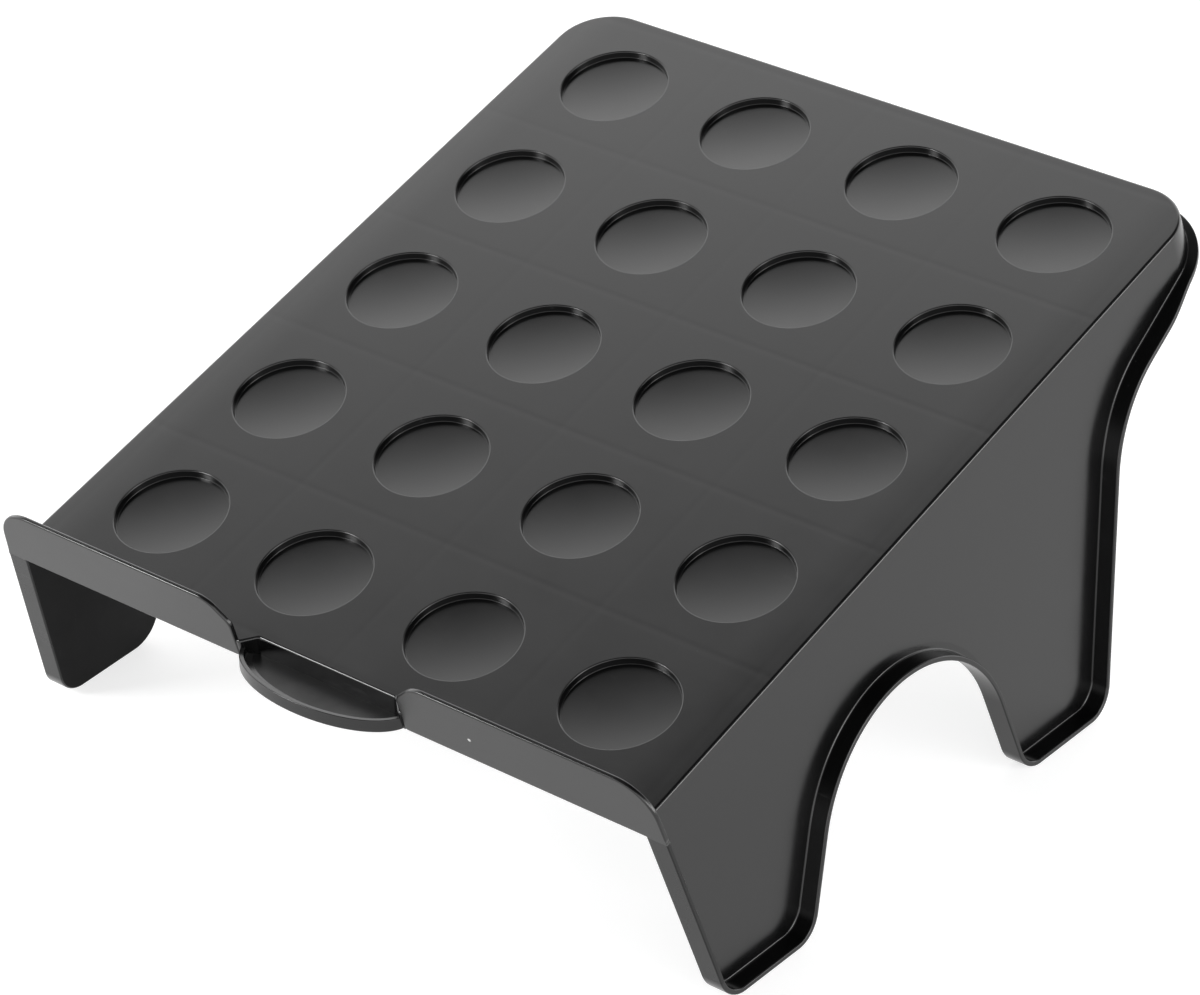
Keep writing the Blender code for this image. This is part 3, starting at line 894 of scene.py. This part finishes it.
def build_lip(name, side, seam, materials, *nodes):
    """One lip half; seam is the edge radius where it meets the side wall and its flange."""
    bottom = lip_w_at_height(LIP_BOTTOM_HEIGHT)
    end = half_width(LIP_TOP) + FLANGE_DEPTH
    low_end = half_width(bottom) + FLANGE_DEPTH
    runs = rounded_path([
        (NOTCH_HALF_WIDTH + 2.0 * LIP_CORNER_RADIUS, bottom, 0.0),
        (NOTCH_HALF_WIDTH, bottom, LIP_CORNER_RADIUS),
        (NOTCH_HALF_WIDTH, NOTCH_SHOULDER, NOTCH_SHOULDER_RADIUS),
        (NOTCH_HALF_WIDTH + NOTCH_TOP_OFFSET, LIP_TOP, NOTCH_TOP_RADIUS),
        (end, LIP_TOP, LIP_END_RADIUS),
        (low_end, bottom, 0.0),
    ])
    inner = half_width(bottom) - WALL + INNER_RADIUS
    outline = [point for point, _ in join_runs(runs)][:-1]
    radii = [LIP_EDGE_RADIUS] * len(outline)
    for u, w, radius in (
        (low_end + (end - low_end) * LIP_END_SHARE, bottom + (LIP_TOP - bottom) * LIP_END_SHARE, RIM_RADIUS),
        (low_end, bottom, seam),
        (low_end - 2.0 * RIM_RADIUS, bottom, seam),
        (inner, bottom, seam),
        (inner - RIM_RADIUS, bottom, RIM_RADIUS),
    ):
        outline.append(np.array((u, w)))
        radii.append(radius)
    skin = Skin()
    rounded_plate(
        skin, outline, radii, LIP_THICKNESS,
        lambda a, b, depth: lip_point(side * a, b, depth),
        lambda a, b, depth: lip_vector(side * a, b, depth),
    )
    return skin.piece(name, materials, *nodes)


def build_tab(materials):
    """Level half-moon tray with a raised rim."""
    root = (-LIP_FACE + NOTCH_SETBACK) * COS
    reach = root - (tab_low.y - ORIGIN_Y)
    top = tab_high.z
    low = tab_low.z
    rim = TAB_RIM_WIDTH
    foot = TAB_FLOOR_FILLET
    edge = TAB_RIM_RADIUS
    section = [(TAB_FLOOR_REACH + rim, TAB_FLOOR, 0.0, 1.0)]
    section += arc(rim + foot, TAB_FLOOR + foot, foot, -90, -180, FOOT_STEPS, -1.0)
    section += arc(rim - edge, top - edge, edge, 0, 90, RIM_STEPS)
    section += arc(edge, top - edge, edge, 90, 180, RIM_STEPS)
    section += arc(edge, low + edge, edge, 180, 270, RIM_STEPS)
    section.append((TAB_FLOOR_REACH + rim, low, 0.0, -1.0))
    points = []
    normals = []
    for i in range(TAB_STEPS + 1):
        angle = math.pi * (i / TAB_STEPS - 0.5)
        sa, ca = math.sin(angle), math.cos(angle)
        way = unit(np.array((sa / TAB_HALF_WIDTH, -ca / reach)))
        row = []
        normal_row = []
        for inset, z, ni, nz in section:
            x = TAB_HALF_WIDTH * sa - inset * way[0]
            y = root - reach * ca - inset * way[1]
            row.append(side_point(x, y, z))
            normal_row.append(np.array((-ni * way[0], -ni * way[1], nz)))
        points.append(row)
        normals.append(normal_row)
    skin = Skin()
    skin.grid(points, normals)
    skin.slot = 1
    skin.flat([row[0] for row in points], np.array((0.0, 0.0, 1.0)))
    skin.slot = 0
    skin.flat([row[-1] for row in points], np.array((0.0, 0.0, -1.0)))
    back = np.array((0.0, 1.0, 0.0))
    skin.flat(points[0], back)
    skin.flat(points[-1], back)
    skin.flat([points[0][0], points[-1][0], points[-1][-1], points[0][-1]], back)
    return skin.piece("moulded_finger_tab", materials, "finger_tab")


# ------------------------------------------------------------ material

def black_plastic(name, roughness=0.2, seed=0.0, sinks=False, specular=0.5, speck=None):
    """Moulded black plastic: satin gloss with faint scuffs, dust and grain.

    sinks adds the lines over the ribs and the droop near the side edges, both as bump only;
    speck adds one pale spot at a world point.
    """
    mat = bpy.data.materials.new(name)
    mat.use_nodes = True
    tree = mat.node_tree
    nodes = tree.nodes
    links = tree.links
    shader = nodes["Principled BSDF"]
    shader.inputs["Metallic"].default_value = 0.0
    shader.inputs["IOR"].default_value = 1.5
    shader.inputs["Specular IOR Level"].default_value = specular
    coordinates = nodes.new("ShaderNodeTexCoord")
    offset = nodes.new("ShaderNodeVectorMath")
    offset.operation = "ADD"
    offset.inputs[1].default_value = (seed, seed * 0.37, -seed * 0.61)
    links.new(coordinates.outputs["Object"], offset.inputs[0])

    def noise(scale, detail, rough=0.5, stretch=None):
        texture = nodes.new("ShaderNodeTexNoise")
        texture.inputs["Scale"].default_value = scale
        texture.inputs["Detail"].default_value = detail
        texture.inputs["Roughness"].default_value = rough
        if stretch is None:
            links.new(offset.outputs[0], texture.inputs["Vector"])
        else:
            mapping = nodes.new("ShaderNodeMapping")
            mapping.inputs["Rotation"].default_value = stretch[0]
            mapping.inputs["Scale"].default_value = stretch[1]
            links.new(offset.outputs[0], mapping.inputs["Vector"])
            links.new(mapping.outputs[0], texture.inputs["Vector"])
        return texture.outputs[0]

    def remap(source, low, high, to_low, to_high):
        node = nodes.new("ShaderNodeMapRange")
        node.inputs["From Min"].default_value = low
        node.inputs["From Max"].default_value = high
        node.inputs["To Min"].default_value = to_low
        node.inputs["To Max"].default_value = to_high
        links.new(source, node.inputs["Value"])
        return node.outputs[0]

    def math_node(operation, a, b):
        node = nodes.new("ShaderNodeMath")
        node.operation = operation
        for socket, value in zip(node.inputs, (a, b)):
            if isinstance(value, (int, float)):
                socket.default_value = value
            else:
                links.new(value, socket)
        return node.outputs[0]

    cloud = noise(scale=9.0, detail=4.0, rough=0.55)
    dust = noise(scale=420.0, detail=3.0, rough=0.6)
    scuff = noise(scale=26.0, detail=5.0, rough=0.7, stretch=((0.2, 0.1, 0.7), (1.0, 14.0, 6.0)))
    scuff_mask = remap(scuff, 0.66, 0.74, 0.0, 1.0)
    dust_mask = remap(dust, 0.72, 0.78, 0.0, 1.0)
    scuffs = math_node("MULTIPLY", scuff_mask, 0.35)
    specks = math_node("MULTIPLY", dust_mask, 0.5)
    marks = math_node("MAXIMUM", scuffs, specks)
    tone = remap(cloud, 0.3, 0.7, 0.35, 0.65)
    ramp = nodes.new("ShaderNodeMix")
    ramp.data_type = "RGBA"
    ramp.inputs["A"].default_value = PLASTIC_DARK
    ramp.inputs["B"].default_value = PLASTIC_LIGHT
    links.new(tone, ramp.inputs["Factor"])
    dusty = nodes.new("ShaderNodeMix")
    dusty.data_type = "RGBA"
    dusty.inputs["B"].default_value = DUST_COLOUR
    links.new(marks, dusty.inputs["Factor"])
    links.new(ramp.outputs["Result"], dusty.inputs["A"])
    colour = dusty.outputs["Result"]
    if speck is not None:
        apart = nodes.new("ShaderNodeVectorMath")
        apart.operation = "DISTANCE"
        apart.inputs[1].default_value = tuple(speck)
        links.new(coordinates.outputs["Object"], apart.inputs[0])
        pale = nodes.new("ShaderNodeMix")
        pale.data_type = "RGBA"
        pale.inputs["B"].default_value = SPECK_COLOUR
        spot = remap(apart.outputs["Value"], SPECK_RADIUS * 0.5, SPECK_RADIUS, 1.0, 0.0)
        links.new(spot, pale.inputs["Factor"])
        links.new(colour, pale.inputs["A"])
        colour = pale.outputs["Result"]
    links.new(colour, shader.inputs["Base Color"])

    patches = noise(scale=34.0, detail=6.0, rough=0.65)
    spread = remap(patches, 0.3, 0.7, roughness * 0.85, roughness * 1.2)
    rough_total = math_node("ADD", spread, math_node("MULTIPLY", marks, 0.12))
    links.new(rough_total, shader.inputs["Roughness"])

    grain = math_node("MULTIPLY", noise(scale=1500.0, detail=2.0), GRAIN_HEIGHT)
    wave = math_node("MULTIPLY", noise(scale=48.0, detail=2.0), WAVE_HEIGHT)
    height = math_node("ADD", grain, wave)
    if sinks:
        dot = nodes.new("ShaderNodeVectorMath")
        dot.operation = "DOT_PRODUCT"
        dot.inputs[1].default_value = (0.0, COS, SIN)
        links.new(coordinates.outputs["Object"], dot.inputs[0])
        origin = ORIGIN_Y * COS + ORIGIN_Z * SIN
        along = math_node("SUBTRACT", dot.outputs["Value"], origin)
        separate = nodes.new("ShaderNodeSeparateXYZ")
        links.new(coordinates.outputs["Object"], separate.inputs[0])
        across = separate.outputs["X"]
        for value, pitch, shift, amount in (
            (along, PITCH_V, PITCH_V / 2.0, 1.0),
            (across, PITCH_U, 0.0, LONG_SINK_SHARE),
        ):
            moved = math_node("ADD", value, shift)
            distance = math_node("PINGPONG", moved, pitch / 2.0)
            dip = remap(distance, 0.0, SINK_WIDTH, -SINK_DEPTH * amount, 0.0)
            dip.node.interpolation_type = "SMOOTHSTEP"
            height = math_node("ADD", height, dip)
        outer = math_node("SUBTRACT", math_node("ABSOLUTE", across, 0.0), HALF_WIDTH - DROOP_WIDTH)
        outer = math_node("MAXIMUM", outer, 0.0)
        outer_squared = math_node("MULTIPLY", outer, outer)
        droop = math_node("MULTIPLY", outer_squared, -DROOP_SLOPE / (2.0 * DROOP_WIDTH))
        height = math_node("ADD", height, droop)
    bump = nodes.new("ShaderNodeBump")
    bump.inputs["Strength"].default_value = 1.0
    bump.inputs["Distance"].default_value = 1.0
    links.new(height, bump.inputs["Height"])
    links.new(bump.outputs[0], shader.inputs["Normal"])
    return mat


# ------------------------------------------------------------ the object

def build_object():
    deck_plastic = black_plastic("deck_plastic", 0.2, 0.0, sinks=True)
    lip_plastic = black_plastic("lip_plastic", 0.22, 0.31, speck=lip_point(SPECK_U, SPECK_W, 0.0))
    side_plastic = black_plastic("side_plastic", 0.2, 0.77)
    # Painted shade: a copy of the one plastic with its reflection turned far down (specular 0.06), for the
    # shade on the inner faces under the deck.
    inner_plastic = black_plastic("inner_plastic", 0.42, 0.93, specular=0.06)
    # Painted shade: a copy with its reflection turned down (specular 0.3), for the shade on the tab's floor
    # in the notch recess.
    tab_plastic = black_plastic("tab_plastic", 0.42, 0.55, specular=0.3)
    # Painted shade: a copy with its reflection turned a little down (specular 0.42), to darken the flange
    # bands along the crease.
    rim_plastic = black_plastic("rim_plastic", 0.2, 0.77, specular=0.42)
    # Painted shade: a copy with its reflection turned down (specular 0.3), to darken the front leg strips.
    strip_plastic = black_plastic("strip_plastic", 0.26, 0.77, specular=0.3)
    build_deck([deck_plastic, inner_plastic])
    build_notch([deck_plastic])
    build_tab([lip_plastic, tab_plastic])
    runs = side_runs()
    right = side_stations(runs)
    corner = corner_stations()
    left = [station.mirrored() for station in right]
    across = corner + [station.mirrored() for station in reversed(corner)]
    stretches = (("front_leg_strip_", 1), ("front_foot_sole_", 3), ("arch_rim_", 3),
                 ("rear_foot_sole_", 3), ("rear_leg_rim_", 3))
    halves = (("left", -1, left, LEFT_SEAM_RADIUS), ("right", 1, right, RIGHT_SEAM_RADIUS))
    for label, side, stations, seam in halves:
        build_lip("moulded_front_lip_" + label, side, seam, [lip_plastic], "front_lip_" + label)
        side_wall(
            "moulded_side_wall_" + label, stations, side,
            [side_plastic, inner_plastic], "side_wall_" + label,
        )
        start = 0
        first_run = 0
        for name, run_count in stretches:
            length = sum(len(run) - 1 for run in runs[first_run:first_run + run_count])
            outer_plastic = strip_plastic if name == "front_leg_strip_" else rim_plastic
            band_piece(
                "moulded_" + name + label, stations[start:start + length + 1],
                [outer_plastic, inner_plastic], name + label,
            )
            start += length
            first_run += run_count
    back_wall("moulded_back_wall", across, [side_plastic, inner_plastic], "back_wall")
    band_piece("moulded_back_rim", across, [rim_plastic, inner_plastic], "back_rim")
    rib_plastic = black_plastic("rib_plastic", 0.3, 1.3)
    for name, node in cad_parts.items():
        if "_rib_" in name:
            node.data.materials.clear()
            node.data.materials.append(rib_plastic)


# ------------------------------------------------------------ camera, floor and light

def build_camera():
    data = bpy.data.cameras.new("camera")
    data.sensor_fit = "HORIZONTAL"
    data.sensor_width = CAMERA_SENSOR
    data.lens = CAMERA_LENS
    data.clip_start, data.clip_end = CAMERA_CLIP
    camera = bpy.data.objects.new("camera", data)
    axes = zip(CAMERA_RIGHT, CAMERA_UP, CAMERA_BACK, CAMERA_PLACE)
    camera.matrix_world = Matrix((*axes, (0.0, 0.0, 0.0, 1.0)))
    bpy.context.scene.collection.objects.link(camera)
    bpy.context.scene.camera = camera


def build_floor():
    mesh = bpy.data.meshes.new("floor")
    corners = ((-1, -1), (1, -1), (1, 1), (-1, 1))
    points = [(FLOOR_REACH * x, FLOOR_REACH * y, cad_low.z) for x, y in corners]
    mesh.from_pydata(points, [], [(0, 1, 2, 3)])
    mat = bpy.data.materials.new("floor_paper")
    mat.use_nodes = True
    shader = mat.node_tree.nodes["Principled BSDF"]
    shader.inputs["Base Color"].default_value = (FLOOR_SHADE, FLOOR_SHADE, FLOOR_SHADE, 1.0)
    shader.inputs["Roughness"].default_value = FLOOR_ROUGHNESS
    shader.inputs["Specular IOR Level"].default_value = 0.0
    shader.inputs["Emission Color"].default_value = (1.0, 1.0, 1.0, 1.0)
    shader.inputs["Emission Strength"].default_value = FLOOR_GLOW
    mesh.materials.append(mat)
    floor = bpy.data.objects.new("floor", mesh)
    bpy.context.scene.collection.objects.link(floor)


def build_light():
    """White studio sky with two dark caps, two soft boxes low at the right, and a front left lamp."""
    world = bpy.data.worlds.new("studio")
    bpy.context.scene.world = world
    world.use_nodes = True
    tree = world.node_tree
    nodes = tree.nodes
    links = tree.links
    coordinates = nodes.new("ShaderNodeTexCoord")

    def fade(way, inner, outer, at_centre, outside):
        dot = nodes.new("ShaderNodeVectorMath")
        dot.operation = "DOT_PRODUCT"
        dot.inputs[1].default_value = tuple(unit(np.array(way)))
        links.new(coordinates.outputs["Generated"], dot.inputs[0])
        remap = nodes.new("ShaderNodeMapRange")
        remap.interpolation_type = "SMOOTHSTEP"
        remap.inputs["From Min"].default_value = math.cos(math.radians(outer))
        remap.inputs["From Max"].default_value = math.cos(math.radians(inner))
        remap.inputs["To Min"].default_value = outside
        remap.inputs["To Max"].default_value = at_centre
        links.new(dot.outputs["Value"], remap.inputs["Value"])
        return remap.outputs[0]

    def combine(operation, value, other):
        node = nodes.new("ShaderNodeMath")
        node.operation = operation
        if isinstance(value, float):
            node.inputs[0].default_value = value
        else:
            links.new(value, node.inputs[0])
        links.new(other, node.inputs[1])
        return node.outputs[0]

    strength = SKY_STRENGTH
    for way, inner, outer, share in SKY_CAPS:
        strength = combine("MULTIPLY", strength, fade(way, inner, outer, 1.0 - share, 1.0))
    for way, inner, outer, added in SKY_BOXES:
        strength = combine("ADD", strength, fade(way, inner, outer, added, 0.0))
    background = nodes["Background"]
    background.inputs["Color"].default_value = (1.0, 1.0, 1.0, 1.0)
    links.new(strength, background.inputs["Strength"])

    lamp = bpy.data.lights.new("key_lamp", "AREA")
    lamp.shape = "DISK"
    lamp.size = KEY_SIZE
    lamp.energy = KEY_POWER
    holder = bpy.data.objects.new("key_lamp", lamp)
    place = Vector(KEY_PLACE)
    holder.location = place
    holder.rotation_euler = place.to_track_quat("Z", "Y").to_euler()
    bpy.context.scene.collection.objects.link(holder)


build_object()
build_camera()
build_floor()
build_light()
bpy.context.scene.view_settings.view_transform = "Standard"
